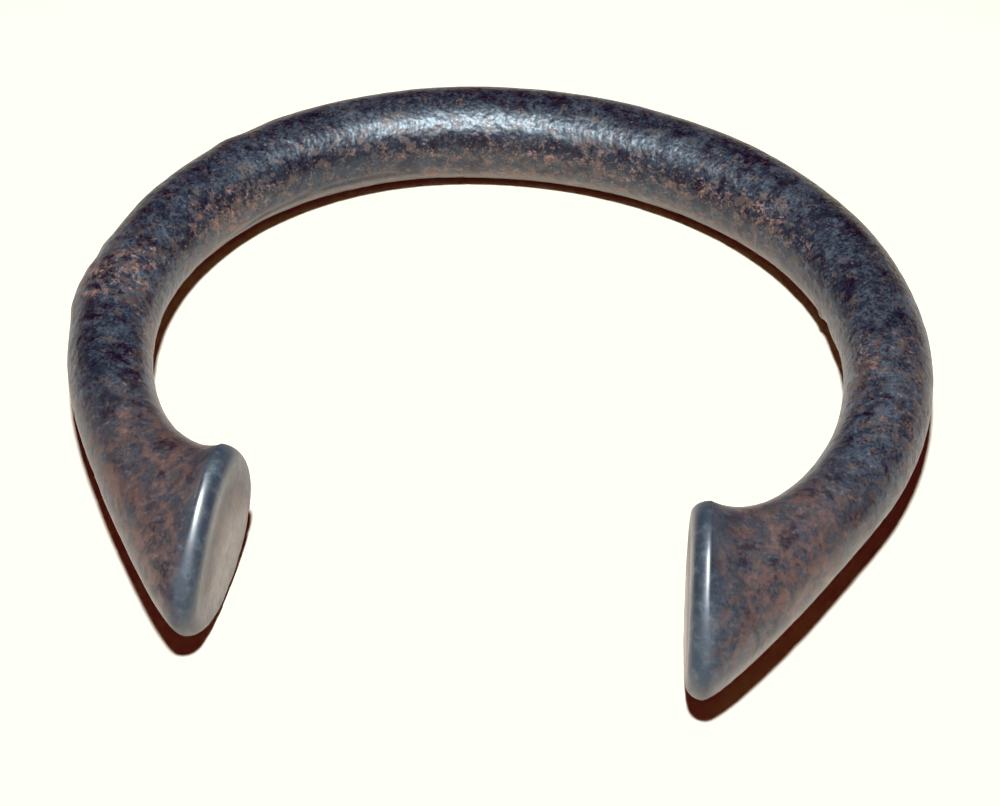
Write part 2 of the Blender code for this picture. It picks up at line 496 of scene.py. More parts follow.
    @staticmethod
    def swept_edge(start: np.ndarray, start_way: np.ndarray, end: np.ndarray, side: int,
                   shape: tuple[float, float, float], share: np.ndarray) -> np.ndarray:
        """A cubic curve that leaves the neck along the rod and meets the face at an angle.

        With t from 0 to 1 it is start + (3t^2 - 2t^3) (end - start), plus the start's way
        times t^3 - 2t^2 + t, plus the end's way times t^3 - t^2.

        Args:
            start: Point on the neck.
            start_way: Direction of the rod there.
            end: Corner of the face.
            side: -1 for the left end, 1 for the right.
            shape: Angle at the face in degrees, then the sweep at the neck and at the face.
            share: The values of t.

        Returns:
            The points of the curve.
        """
        angle = math.radians(shape[0])
        chord = np.linalg.norm(end - start)
        end_way = np.array([-side * math.cos(angle), math.sin(angle)])
        t = share[:, None]
        leaving = (t ** 3 - 2 * t ** 2 + t) * start_way * chord * shape[1]
        arriving = (t ** 3 - t ** 2) * end_way * chord * shape[2]
        return start + (3 * t ** 2 - 2 * t ** 3) * (end - start) + leaving + arriving

    def face_corners(self, end: End) -> tuple[np.ndarray, np.ndarray, np.ndarray]:
        """The corners of one end face, seen from above.

        Args:
            end: Which end.

        Returns:
            Inner corner, outer corner and the direction that the face looks in.
        """
        side, face = end.value, self.ends[end]
        toe = math.radians(face.toe)
        inner = self.centre_line(np.array(math.radians(side * self.neck_angle)))
        inner = inner + np.array([-side * face.inset, -face.forward])
        along = np.array([side * math.sin(toe), -math.cos(toe)])
        looks = np.array([-side * math.cos(toe), -math.sin(toe)])
        return inner, inner + along * self.face_length, looks

    def end_sections(self, end: End) -> tuple[np.ndarray, ...]:
        """Sections of one end, from just past its neck to just short of the face's middle.

        The flare follows its two swept edges while its half height grows as a power of the
        way along. The lip is a quarter round: rise r sin a, shrink r (1 - cos a), each times
        its inner share at the inner corner. The dome shrinks to a point and rises as a
        parabola.

        Args:
            end: Which end.

        Returns:
            Inner edge, outer edge, half height and bend of each section.
        """
        side = end.value
        angle = np.array(math.radians(side * self.neck_angle))
        way = side * self.direction(angle)
        outward = side * np.array([-way[1], way[0]])
        neck, neck_radius = self.centre_line(angle), self.neck_rod_diameter / 2
        face_inner, face_outer, looks = self.face_corners(end)
        share = np.linspace(0, 1, self.flare_sections + 1)[1:]
        inner = self.swept_edge(neck - outward * neck_radius, way, face_inner, side,
                                self.inner_edge, share)
        outer = self.swept_edge(neck + outward * neck_radius, way, face_outer, side,
                                self.outer_edge, share)
        grown = self.face_height / 2 - neck_radius
        half_height = neck_radius + grown * share ** self.height_flare_power

        along = unit(face_outer - face_inner)
        turn = np.linspace(0, math.pi / 2, self.lip_sections + 1)[1:]
        rise = (self.lip_radius * np.sin(turn))[:, None]
        shrink = self.lip_radius * (1 - np.cos(turn))
        more_rise, less_shrink = self.inner_lip
        lip_inner = (face_inner + looks * rise * more_rise
                     + along * shrink[:, None] * less_shrink)
        lip_outer = face_outer + looks * rise - along * shrink[:, None]
        lip_half = self.face_height / 2 - shrink

        middle = (lip_inner[-1] + lip_outer[-1]) / 2
        reach = (lip_outer[-1] - lip_inner[-1]) / 2
        size = np.linspace(1, 0, self.dome_sections + 2)[1:-1]
        crown = middle + looks * (self.face_dome * (1 - size ** 2))[:, None]
        return (np.vstack([inner, lip_inner, crown - reach * size[:, None]]),
                np.vstack([outer, lip_outer, crown + reach * size[:, None]]),
                np.concatenate([half_height, lip_half, lip_half[-1] * size]),
                np.concatenate([share ** 2, np.ones(self.lip_sections + self.dome_sections)]))

    def bent_ovals(self, reach: np.ndarray, half: np.ndarray,
                   bend: np.ndarray) -> tuple[np.ndarray, np.ndarray]:
        """Across and up of the points round each section.

        A plain oval is (reach cos a, half sin a). Where its sine is above zero a full bend
        takes off the tip thinning times cos a, and then turns the section by the roll.

        Args:
            reach: Half the length of each section.
            half: Half the height of each section.
            bend: Its bend: 0 for a round of the rod, 1 for the egg shape of a face.

        Returns:
            Two grids of sections by sides.
        """
        turn = np.linspace(0, 2 * math.pi, self.section_sides, endpoint=False)
        thinning = np.where(np.sin(turn) > 0, self.tip_thinning, 0.0)
        across = reach[:, None] * np.cos(turn)
        up = half[:, None] * np.sin(turn) * (1 - bend[:, None] * thinning * np.cos(turn))
        roll = math.radians(self.face_roll) * bend[:, None]
        return (across * np.cos(roll) + up * np.sin(roll),
                up * np.cos(roll) - across * np.sin(roll))

    def height_of(self, y: np.ndarray) -> np.ndarray:
        """Height of a section's centre, which climbs evenly from the back to the faces.

        Args:
            y: How far back each section lies.

        Returns:
            One height for each section.
        """
        back_y = self.centre_line(np.array(0.0))[1]
        face_y = np.mean([(a + b)[1] / 2 for a, b, _ in map(self.face_corners, End)])
        share = (back_y - y) / (back_y - face_y)
        face_up = self.bent_ovals(np.array([self.face_length / 2]),
                                  np.array([self.face_height / 2]), np.ones(1))[1]
        low, high = self.back_rod_diameter / 2, -face_up.min()
        return low + (high - low) * share

    def rings(self) -> tuple[np.ndarray, np.ndarray]:
        """The smooth skin as rings of points, and each ring's angle round the ring.

        Each ring is the section's middle plus its bent oval, laid along the line from the
        inner edge to the outer one.

        Returns:
            Points on a grid of sections by sides, and the angle of each section in degrees,
            which goes on past the neck at the same rate.
        """
        angle = np.radians(np.linspace(-self.neck_angle, self.neck_angle, self.rod_sections))
        radius = self.rod_radius(angle)
        way = self.direction(angle)
        outward = np.stack([-way[:, 1], way[:, 0]], axis=1)
        middle = self.centre_line(angle)
        spread = self.swelling.length / self.ring_radius
        swelling = self.swelling.height * np.exp(
            -((angle - math.radians(self.swelling.angle)) / spread * 2 ** 0.5) ** 2)
        left, right = self.end_sections(End.LEFT), self.end_sections(End.RIGHT)
        inner = np.vstack([left[0][::-1], middle - outward * radius[:, None], right[0]])
        outer = np.vstack([left[1][::-1], middle + outward * (radius + swelling)[:, None],
                           right[1]])
        half = np.concatenate([left[2][::-1], radius, right[2]])
        bend = np.concatenate([left[3][::-1], np.zeros(self.rod_sections), right[3]])
        middle = (inner + outer) / 2
        across, up = self.bent_ovals(np.linalg.norm(outer - inner, axis=1) / 2, half, bend)
        plan = middle[:, None, :] + unit(outer - inner)[:, None, :] * across[..., None]
        level = self.height_of(middle[:, 1])[:, None] + up
        along = self.running_angle((inner + outer) / 2, len(left[2]), np.degrees(angle))
        return np.concatenate([plan, level[..., None]], axis=2), along

    def running_angle(self, middle: np.ndarray, before: int, angle: np.ndarray) -> np.ndarray:
        """Degrees round the ring for each section, carried on past both necks.

        Past a neck each further degree stands for as much length as on a circle of the ring's
        radius.

        Args:
            middle: The middle of each section, seen from above.
            before: How many sections lie before the first section of the rod.
            angle: The rod's own angles in degrees.

        Returns:
            One angle for each section.
        """
        step = np.degrees(np.linalg.norm(np.diff(middle, axis=0), axis=1) / self.ring_radius)
        left = angle[0] - np.cumsum(step[:before][::-1])[::-1]
        right = angle[-1] + np.cumsum(step[before + len(angle) - 1:])
        return np.concatenate([left, angle, right])

    @staticmethod
    def normals_of(grid: np.ndarray) -> np.ndarray:
        """Outward normals of the grid: the cross product of its two running differences.

        Args:
            grid: Points by section and side.

        Returns:
            One unit vector for each point.
        """
        along = np.gradient(grid, axis=0)
        around = (np.roll(grid, -1, axis=1) - np.roll(grid, 1, axis=1)) / 2
        return unit(np.cross(around, along))

    def patch(self, place: Spot | Stain, along: np.ndarray, turn: np.ndarray,
              girth: np.ndarray) -> np.ndarray:
        """A smooth hill of height one: exp(-(d / spread)^2) along the rod and round it.

        Args:
            place: Where it lies and how far it spreads.
            along: Each section's angle in degrees.
            turn: Each side's turn in degrees.
            girth: Distance for each degree of turn.

        Returns:
            Values on the grid of sections by sides.
        """
        away = np.radians(along - place.angle) * self.ring_radius / place.length
        round_rod = (turn - place.turn + 180.0) % 360.0 - 180.0
        aside = round_rod[None, :] * girth[:, None] / place.width
        return np.exp(-away[:, None] ** 2 - aside ** 2)

    def relief(self, grid: np.ndarray, along: np.ndarray, turn: np.ndarray,
               girth: np.ndarray, face: np.ndarray) -> tuple[np.ndarray, np.ndarray]:
        """How far each point stands out from the smooth skin, and how deep its pits are.

        Broad lumps and small ones are layered noise. Pits are where a finer noise passes a
        level, deeper the further it passes. The mould seam is a narrow groove, broken by
        noise, with a dark line of painted shade beside it, and each spot is a smooth hill or
        hollow.

        Args:
            grid: Points by section and side.
            along: Each section's angle in degrees.
            turn: Each side's turn in degrees.
            girth: Each section's distance for a degree of turn.
            face: Where the end faces and their rims are, from 0 to 1.

        Returns:
            The height in metres, and the pits with the painted shade beside the seam, full at
            one.
        """
        marks, seam = self.marks, self.seam
        pits = np.clip(sum(kind.over(grid) for kind in marks.pits), 0.0, 1.0)
        pits *= marks.least_pits + (1.0 - marks.least_pits) * marks.pitted.over(grid)
        pits *= 1.0 - marks.face_polish * face
        height = (marks.lumps.over(grid)
                  + marks.small_lumps.over(grid) * (1.0 - marks.face_calm * face)
                  - marks.pit_depth * pits - marks.sunk)
        for spot in self.spots:
            height += spot.height * self.patch(spot, along, turn, girth)
        line = np.interp(along, seam.angles, seam.turns)
        across = (turn[None, :] - line[:, None]) * girth[:, None] / seam.width
        whole = seam.whole.over(grid)
        reach = smooth_step(*seam.opens, along) * (1.0 - smooth_step(*seam.closes, along))
        height -= seam.depth * np.exp(-across ** 2) * reach[:, None] * whole
        # Painted shade: a dark line beside the seam, put into the pits so that it is blackened
        # with them.
        painted_shade = seam.painted_shade.over(across) * reach[:, None]
        return height, np.maximum(pits, (seam.painted_shade_share + seam.painted_shade_gain * whole) * painted_shade)

    def zones(self, grid: np.ndarray, normals: np.ndarray, along: np.ndarray, turn: np.ndarray,
              girth: np.ndarray, rim: np.ndarray) -> Zones:
        """Where each kind of patina gathers, as values over the grid, full at one.

        Rust: low on the inner side at the back, over both arms, most on the flares, and in
        the stains. Olive: along the outer top. Underside: the downward-facing skin. Pale: the
        arms' tops, less than nothing inside the back and in the dark stains. Painted glint: one
        spot where pale specks gather in place of a glint.

        Args:
            grid: Points by section and side.
            normals: Their outward normals.
            along: Each section's angle in degrees.
            turn: Each side's turn in degrees.
            girth: Each section's distance for a degree of turn.
            rim: Where the rims of the end faces are, from 0 to 1.

        Returns:
            A grid of values for each of these zones and for the flares.
        """
        mix = self.mix
        arms = smooth_step(*mix.arms, np.abs(along))[:, None]
        flares = smooth_step(*mix.flares, np.abs(along))[:, None]
        inside, upper = mix.inside.over(turn)[None, :], mix.upper.over(turn)[None, :]
        rust = (mix.inside_rust * inside
                + mix.low_inside_rust * mix.low_inside.over(turn)[None, :]) * (1 - arms)
        rust = (rust + (mix.arm_rust + mix.arm_top_rust * upper) * arms
                + mix.flare_rust * flares - mix.rim_rust_loss * rim)
        dark = mix.inside_dark * inside * (1 - arms)
        for stain in self.stains:
            spread = self.patch(stain, along, turn, girth)
            rust = rust + mix.stain_rust * stain.strength * spread
            dark = dark + max(-stain.strength, 0.0) * spread
        # Painted glint: one spot where the pale specks gather thickly.
        dust_and_glint = self.painted_glint.strength * self.patch(self.painted_glint, along, turn, girth)
        olive = mix.outer_top.over(turn)[None, :] * (1 - mix.arm_olive_loss * arms) * (
            mix.olive_share + mix.olive_gain * lattice_noise(grid, mix.olive_cell,
                                                             mix.olive_seed))
        pale = arms * upper * (1 - mix.flare_pale_loss * flares) - dark
        return {Mask.RUST: np.clip(rust, *mix.rust_range), Mask.OLIVE: np.clip(olive, 0.0, 1.0),
                Mask.RUBBED: smooth_step(*mix.underside, -normals[..., 2]), Mask.PALE: pale,
                Mask.DUST: dust_and_glint, Mask.FLARE: np.repeat(flares, self.section_sides, axis=1)}

    def end_zones(self, count: int, turn: np.ndarray) -> tuple[Zones, np.ndarray]:
        """The zones of both end faces, and how far the relief is let in near their middles.

        The face falls from one to zero between its core and its rim. The rim fades by
        exp(-(d / reach)^2) to either side, further over the face than over the flare, and
        shows on the face's upper part alone. The lip is a band just outside it, and its
        shine the part of that band on top.

        Args:
            count: How many sections the skin has.
            turn: Each side's turn in degrees.

        Returns:
            Face, rim, lip and shine, each broadcast to the grid, and one fade for each
            section.
        """
        mix = self.mix
        rank = np.arange(count)
        inward = np.minimum(rank, count - 1 - rank)
        edge = self.lip_sections + self.dome_sections - mix.lip_rank
        core = mix.face_core * self.dome_sections
        face = 1.0 - smooth_step(core, edge, inward.astype(float))
        face = np.repeat(face[:, None], self.section_sides, axis=1)
        past_lip = inward - edge
        on_face = past_lip < 0
        on_flare = np.where(rank < count / 2, *mix.rim_on_flare)
        rim = np.exp(-(past_lip / np.where(on_face, mix.rim_on_face, on_flare)) ** 2)[:, None]
        rising = smooth_step(*mix.rim_top, np.sin(np.radians(turn)))[None, :]
        rim = rim * np.where(on_face[:, None], rising, 1.0)
        lip = mix.lip.over(past_lip)[:, None] * np.ones_like(face)
        shine = lip * mix.shiny.over(turn)[None, :]
        fade = smooth_step(0.0, mix.join_fade, inward.astype(float))
        return {Mask.FACE: face, Mask.RIM: rim, Mask.LIP: lip, Mask.SHINE: shine}, fade

    def build(self) -> bpy.types.Object:
        """Work out the skin, lay the relief into it and make it one closed mesh.

        Returns:
            The casting, at the origin, with its zones as attributes.
        """
        grid, along = self.rings()
        turn = np.linspace(0, 360.0, self.section_sides, endpoint=False)
        normals = self.normals_of(grid)
        girth = np.linalg.norm(np.roll(grid, -1, axis=1) - grid, axis=2).sum(axis=1) / 360.0
        ends, fade = self.end_zones(len(grid), turn)
        face, rim = ends[Mask.FACE], ends[Mask.RIM]
        height, pits = self.relief(grid, along, turn, girth, np.maximum(face, rim))
        height = height * fade[:, None]
        zones = self.zones(grid, normals, along, turn, girth, rim)
        # The pits' zone also carries the painted shade beside the seam.
        zones |= ends | {Mask.DEEP: pits}

        smooth = grid.reshape(-1, 3)
        worn = smooth[:, 2].min() + self.wear_depth
        base = np.array([(smooth[:, 0].min() + smooth[:, 0].max()) / 2,
                         (smooth[:, 1].min() + smooth[:, 1].max()) / 2, worn])
        points = (grid + normals * height[..., None]).reshape(-1, 3) - base
        low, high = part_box(NODE)
        points = np.clip(points, np.array(low), np.array(high))
        crowns = np.stack([points[:self.section_sides].mean(axis=0),
                           points[-self.section_sides:].mean(axis=0)])
        return self.mesh_from(np.vstack([points, crowns]), len(grid), zones)

    def mesh_from(self, points: np.ndarray, count: int, zones: Zones) -> bpy.types.Object:
        """Join the rings with quads, close both ends with fans and store the zones.

        Args:
            points: Every ring's points in turn, then the middles of both end faces.
            count: How many rings there are.
            zones: Values by ring and side for each zone.

        Returns:
            The casting as an object in the scene.
        """
        sides = self.section_sides
        ring, side = np.meshgrid(np.arange(count - 1), np.arange(sides), indexing="ij")
        here, beside = ring * sides + side, ring * sides + (side + 1) % sides
        quads = np.stack([here, beside, beside + sides, here + sides], axis=-1).reshape(-1, 4)
        step = np.arange(sides)
        after = (step + 1) % sides
        last = (count - 1) * sides
        left_fan = np.stack([after, step, np.full(sides, count * sides)], axis=-1)
        right_fan = np.stack([last + step, last + after, np.full(sides, count * sides + 1)],
                             axis=-1)
        mesh = bpy.data.meshes.new("manilla_skin")
        mesh.from_pydata(points, [], quads.tolist() + left_fan.tolist() + right_fan.tolist())
        mesh.update()
        for mask, values in zones.items():
            flat = np.concatenate([values.reshape(-1), values[0].mean(keepdims=True),
                                   values[-1].mean(keepdims=True)]).astype(np.float32)
            layer = mesh.attributes.new(mask.value, "FLOAT", "POINT")
            layer.data.foreach_set("value", flat)
        mesh.shade_smooth()
        casting = bpy.data.objects.new("manilla_casting", mesh)
        bpy.context.scene.collection.objects.link(casting)
        return casting


@dataclass(frozen=True)
class Grain:
    """One layered noise of the patina: feature size in mm, detail, roughness and warp."""

    size: float
    detail: float
    roughness: float = 0.55
    warp: float = 0.0


@dataclass(frozen=True)
class Crust:
    """One kind of film, crust or speck, as the patch group cuts it.

    Attributes:
        size: Size of its patches in mm.
        grain_size: Size of the grain that frays them, in mm.
        grain: How far that grain frays them.
        level: What the noise has to pass; the higher, the rarer the patches.
        softness: Half the width of their edge, in the noise's own measure.
        gather: How strongly they gather in their zone.
        cover: How far they hide what lies under them.
    """

    size: float
    grain_size: float
    grain: float
    level: float
    softness: float
    gather: float
    cover: float


@dataclass(frozen=True)
class PatinaFinish:
    """Colours (linear), gloss, noises and crusts of the old copper alloy."""

    black: tuple[float, float, float] = (0.006, 0.014, 0.019)
    navy: tuple[float, float, float] = (0.018, 0.041, 0.051)
    slate: tuple[float, float, float] = (0.078, 0.116, 0.134)
    umber: tuple[float, float, float] = (0.078, 0.068, 0.054)
    rose: tuple[float, float, float] = (0.165, 0.106, 0.082)
    terracotta: tuple[float, float, float] = (0.280, 0.146, 0.096)
    olive: tuple[float, float, float] = (0.150, 0.155, 0.078)
    # Pale specks: real specks, and at one spot a painted glint.
    dust_and_glint: tuple[float, float, float] = (0.260, 0.240, 0.200)
    face: tuple[float, float, float] = (0.072, 0.067, 0.050)
    # Lower sides: partly worn metal, partly a painted reflection of the pale paper.
    bare_and_reflection: tuple[float, float, float] = (0.175, 0.165, 0.120)

    metal: float = 0.35
    crust_metal: float = 0.05
    ior: float = 1.67
    sheen_roughness: float = 0.42
    crust_roughness: float = 0.66
    coat_roughness: float = 0.45

    fine: Grain = Grain(0.24, 3.0, 0.75)
    mottle: Grain = Grain(0.85, 5.0, 0.68, 0.4)
    cloud: Grain = Grain(3.2, 4.0, 0.6, 0.4)
    hollows: Grain = Grain(0.50, 4.0, 0.75, 0.3)
    blotches: Grain = Grain(2.3, 3.0, 0.55, 0.8)
    swell: Grain = Grain(0.85, 2.0, 0.5)
    dimple_size: float = 0.36
    dimple_smoothness: float = 0.7

    umber_film: Crust = Crust(0.95, 0.24, 0.62, 0.55, 0.05, 0.16, 0.85)
    rose_crust: Crust = Crust(0.62, 0.20, 0.62, 0.63, 0.05, 0.20, 0.80)
    terracotta_crust: Crust = Crust(0.85, 0.24, 0.62, 0.60, 0.05, 0.28, 0.75)
    flare_film: Crust = Crust(1.30, 0.45, 0.35, 0.55, 0.13, 0.60, 0.70)
    olive_specks: Crust = Crust(0.45, 0.18, 0.50, 0.60, 0.07, 0.36, 0.60)
    dust_and_glint_specks: Crust = Crust(0.30, 0.12, 0.45, 0.68, 0.03, 0.16, 0.40)


@dataclass(frozen=True)
class PatinaMix:
    """How strongly each part of the patina shows, by the step that uses it.

    An edges pair is the value where a mask begins and the one where it is full. A cover is the
    share that a colour hides of what lies under it.
    """

    tone_shares: tuple[float, float, float] = (0.40, 0.35, 0.25)
    tone_middle: float = 0.52
    tone_spread: float = 0.08
    pale_lift: float = 0.050
    hollow_edges: tuple[float, float] = (0.46, 0.36)
    hollow_cover: float = 0.70
    blotch_edges: tuple[float, float] = (0.50, 0.36)
    blotch_cover: float = 0.55

    rust_middle: float = 0.47
    thick_rust_middle: float = 0.80
    blotch_lean: float = 1.2
    olive_middle: float = 0.42
    glint_gain: float = 0.50
    pit_and_seam_shade_cover: float = 0.55

    flare_blur: float = 0.75
    flare_tone_spread: float = 0.10
    flare_umber: float = 0.26
    flare_softness: float = 0.10
    flare_smoothing: float = 0.47
    flare_lean_loss: float = 0.30

    worn_edges: tuple[float, float] = (0.72, 0.44)
    worn_cover: float = 0.85
    face_cover: float = 0.75
    face_film_loss: float = 0.35
    bare_and_reflection_cover: float = 0.40

    rose_dullness: float = 0.75
    umber_dullness: float = 0.35
    edge_metal_loss: float = 0.85
    unevenness: float = 0.30
    rim_gloss: float = 0.12
    lip_dullness: float = 0.30
    face_dullness: float = 0.45
    face_gloss: float = 0.05
    coat: float = 0.85

    dimple_depth: float = 0.28
    swell_depth: float = 1.0
    crust_height: float = 0.20
    calm: float = 0.80
    bump: float = 0.085 * MM


class Nodes:
    """A short way to add and join nodes in one node tree."""

    def __init__(self, tree: bpy.types.NodeTree) -> None:
        """Remember the tree."""
        self.tree = tree

    def add(self, kind: str, label: str = "", **settings: object) -> bpy.types.Node:
        """Add a node.

        Args:
            kind: The node's type.
            label: What it is called in the tree.
            settings: The node's own properties, by name.

        Returns:
            The new node.
        """
        node = self.tree.nodes.new(kind)
        node.label = label
        for name, value in settings.items():
            setattr(node, name, value)
        return node

    def feed(self, socket: bpy.types.NodeSocket, value: object) -> None:
        """Join another socket to this one, or set its plain value.

        Args:
            socket: The input to feed.
            value: An output socket, or a number or colour.
        """
        if isinstance(value, bpy.types.NodeSocket):
            self.tree.links.new(value, socket)
        else:
            socket.default_value = value

    def math(self, operation: str, a: object, b: object,
             clamp: bool = False) -> bpy.types.NodeSocket:
        """One arithmetic step on two values.

        Args:
            operation: Its name in the node.
            a: First number or socket.
            b: Second number or socket.
            clamp: Whether the result stays between zero and one.

        Returns:
            The result.
        """
        node = self.add("ShaderNodeMath", operation=operation, use_clamp=clamp)
        self.feed(node.inputs[0], a)
        self.feed(node.inputs[1], b)
        return node.outputs[0]

    def plus(self, a: object, b: object, clamp: bool = False) -> bpy.types.NodeSocket:
        """The sum of two values."""
        return self.math("ADD", a, b, clamp)

    def minus(self, a: object, b: object, clamp: bool = False) -> bpy.types.NodeSocket:
        """The first value less the second."""
        return self.math("SUBTRACT", a, b, clamp)

    def times(self, a: object, b: object) -> bpy.types.NodeSocket:
        """The product of two values."""
        return self.math("MULTIPLY", a, b)

    def most(self, a: object, b: object) -> bpy.types.NodeSocket:
        """The larger of two values."""
        return self.math("MAXIMUM", a, b)

    def blend(self, share: object, a: object, b: object) -> bpy.types.NodeSocket:
        """Mix two colours.

        Args:
            share: How much of the second colour is taken.
            a: First colour, a tuple or a socket.
            b: Second colour, a tuple or a socket.

        Returns:
            The mixed colour.
        """
        node = self.add("ShaderNodeMix", data_type="RGBA", clamp_factor=True)
        self.feed(node.inputs["Factor"], share)
        for socket, colour in zip((node.inputs[6], node.inputs[7]), (a, b)):
            self.feed(socket, (*colour, 1.0) if isinstance(colour, tuple) else colour)
        return node.outputs[2]

    def step(self, value: object, low: object, high: object) -> bpy.types.NodeSocket:
        """Zero below low, one above high and smooth between them; low may be the larger.

        Args:
            value: What is compared.
            low: Where the result is zero.
            high: Where it is one.

        Returns:
            The result.
        """
        node = self.add("ShaderNodeMapRange", interpolation_type="SMOOTHSTEP")
        self.feed(node.inputs["Value"], value)
        self.feed(node.inputs["From Min"], low)
        self.feed(node.inputs["From Max"], high)
        return node.outputs["Result"]

    def between(self, share: object, low: float, high: float) -> bpy.types.NodeSocket:
        """The value that lies this share of the way from low to high.

        Args:
            share: From zero to one.
            low: The result at zero.
            high: The result at one.

        Returns:
            The result.
        """
        node = self.add("ShaderNodeMapRange")
        self.feed(node.inputs["Value"], share)
        self.feed(node.inputs["To Min"], low)
        self.feed(node.inputs["To Max"], high)
        return node.outputs["Result"]

    def noise(self, place: object, grain: Grain) -> bpy.types.NodeSocket:
        """Layered noise.

        Args:
            place: Where it is read.
            grain: Its size, in the unit of the place, and its make.

        Returns:
            Values between zero and one.
        """
        node = self.add("ShaderNodeTexNoise", noise_dimensions="3D")
        self.feed(node.inputs["Vector"], place)
        self.feed(node.inputs["Scale"], 1.0 / grain.size)
        self.feed(node.inputs["Detail"], grain.detail)
        self.feed(node.inputs["Roughness"], grain.roughness)
        self.feed(node.inputs["Distortion"], grain.warp)
        return node.outputs["Fac"]

    def zone(self, mask: Mask) -> bpy.types.NodeSocket:
        """The value of one zone attribute."""
        return self.add("ShaderNodeAttribute", mask.value, attribute_type="GEOMETRY",
                        attribute_name=mask.value).outputs["Fac"]


class PatchGroup:
    """A shader group that puts out a ragged mask: patches of crust with a grainy edge."""

    NAME = "ragged patches"
    COARSE = Grain(1.0, 4.0, 0.6, 0.25)
    FRAYING = Grain(1.0, 3.0, 0.65)
    INPUTS = {"Size": 1.0, "Grain Size": 0.25, "Grain": 0.35, "Level": 0.5, "Softness": 0.04,
              "Gather": 0.0}

    def __init__(self) -> None:
        """Build the group once: a coarse noise plus a grain, cut at a level."""
        tree = bpy.data.node_groups.new(self.NAME, "ShaderNodeTree")
        sockets = tree.interface
        sockets.new_socket(name="Place", in_out="INPUT", socket_type="NodeSocketVector")
        for name, value in self.INPUTS.items():
            socket = sockets.new_socket(name=name, in_out="INPUT",
                                        socket_type="NodeSocketFloat")
            socket.default_value = value
        sockets.new_socket(name="Mask", in_out="OUTPUT", socket_type="NodeSocketFloat")
        nodes = Nodes(tree)
        given = nodes.add("NodeGroupInput").outputs
        result = nodes.add("NodeGroupOutput")
        coarse = nodes.noise(given["Place"], self.COARSE)
        nodes.feed(coarse.node.inputs["Scale"], nodes.math("DIVIDE", 1.0, given["Size"]))
        grain = nodes.noise(given["Place"], self.FRAYING)
        nodes.feed(grain.node.inputs["Scale"], nodes.math("DIVIDE", 1.0, given["Grain Size"]))
        frayed = nodes.plus(coarse, nodes.times(nodes.minus(grain, 0.5), given["Grain"]))
        gathered = nodes.plus(frayed, given["Gather"])
        low = nodes.minus(given["Level"], given["Softness"])
        high = nodes.plus(given["Level"], given["Softness"])
        nodes.feed(result.inputs["Mask"], nodes.step(gathered, low, high))
        self.tree = tree

    def cut(self, nodes: Nodes, label: str, place: object, crust: Crust, lean: object,
            **changed: object) -> bpy.types.NodeSocket:
        """Put the group into a material for one kind of crust.

        Args:
            nodes: The material's tree.
            label: What the crust is called there.
            place: Where the patches are read, in mm.
            crust: The kind of crust.
            lean: How far this spot draws the crust, below zero where it keeps it off.
            changed: Group inputs that take a socket in place of the crust's own value.

        Returns:
            The mask of the crust.
        """
        node = nodes.add("ShaderNodeGroup", label)
        node.node_tree = self.tree
        values = {"Place": place, "Size": crust.size, "Grain Size": crust.grain_size,
                  "Grain": crust.grain, "Level": crust.level, "Softness": crust.softness,
                  "Gather": nodes.times(lean, crust.gather)}
        for name, value in (values | changed).items():
            nodes.feed(node.inputs[name], value)
        return node.outputs["Mask"]


